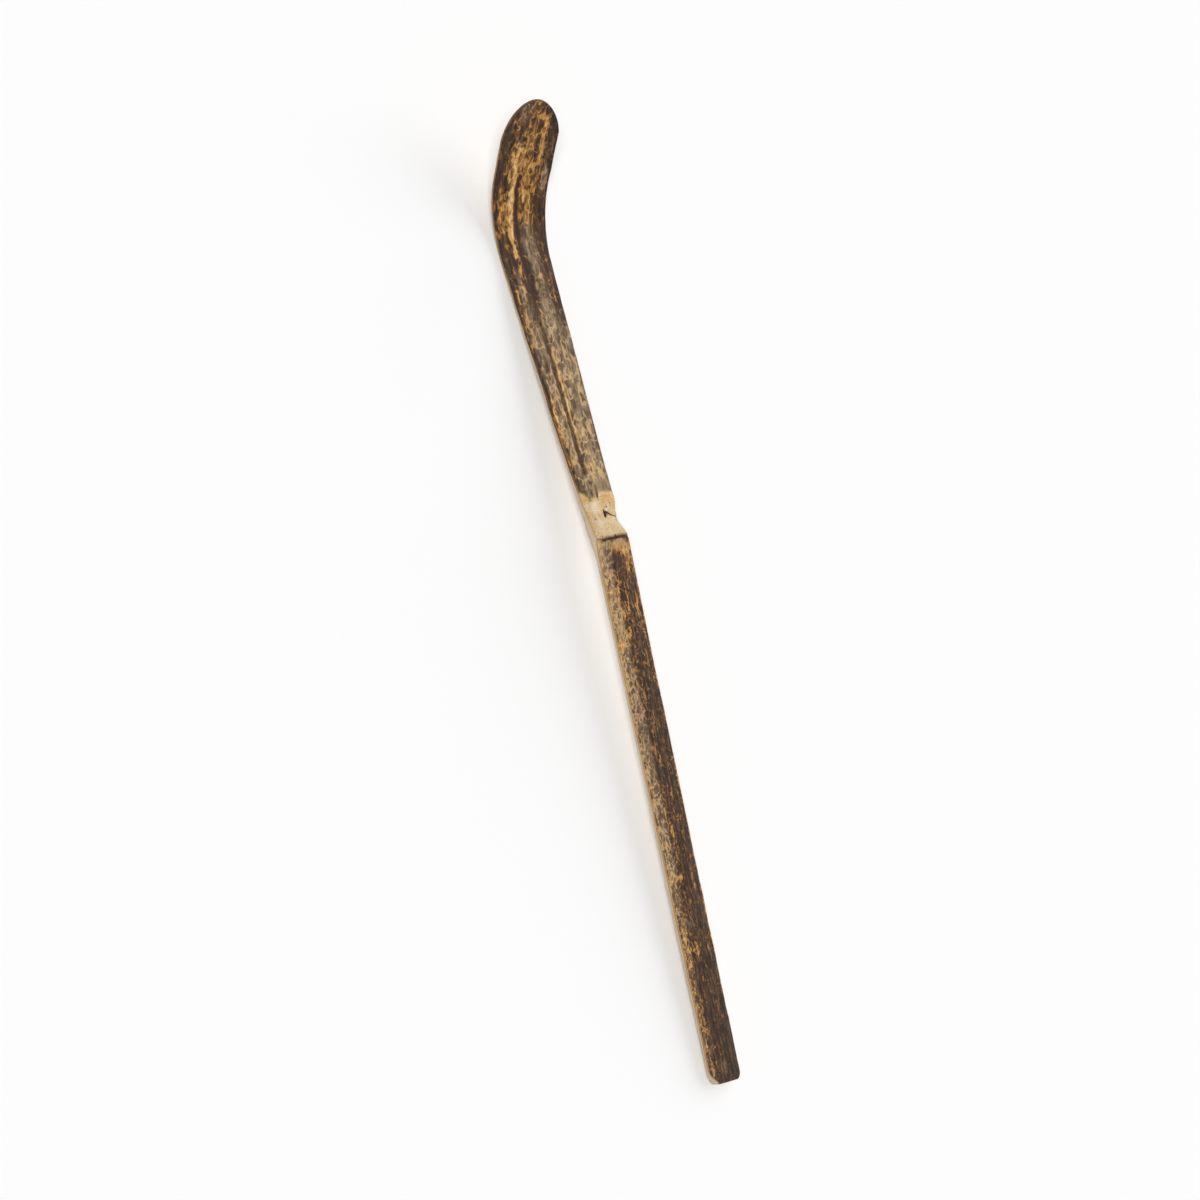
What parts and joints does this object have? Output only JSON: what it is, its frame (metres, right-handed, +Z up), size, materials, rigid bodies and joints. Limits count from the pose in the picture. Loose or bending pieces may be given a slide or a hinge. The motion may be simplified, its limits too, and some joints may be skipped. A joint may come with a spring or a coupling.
{
  "type": "chashaku tea scoop",
  "caption": "Bamboo scoop for powdered tea: a slim pared strip with a node half way along and a rounded tip bent up into a shallow scoop.",
  "frame": {"origin": "on the table under the middle of the scoop's box, with the scoop lying face up on the back of its bend and the back edge of its butt", "axes": "+Y along the length, towards the scoop's tip; +Z up, out of the skin; +X to the right of the skin"},
  "size_m": [0.0116, 0.1778, 0.0187],
  "materials": {
    "rind": "satin mottled bamboo skin, dark brown over ochre",
    "culm_wood": "matte pared bamboo, pale straw with fine fibres",
    "node_wood": "satin pale straw with fine specks",
    "scar": "matte dark brown"
  },
  "bodies": {
    "root": {"upper_rind": "rind", "lower_rind": "rind", "upper_wood": "culm_wood", "lower_wood": "culm_wood", "node_collar": "node_wood", "branch_bud": "node_wood", "diaphragm_stub": "node_wood", "sheath_scar": "scar"}
  },
  "joints": []
}
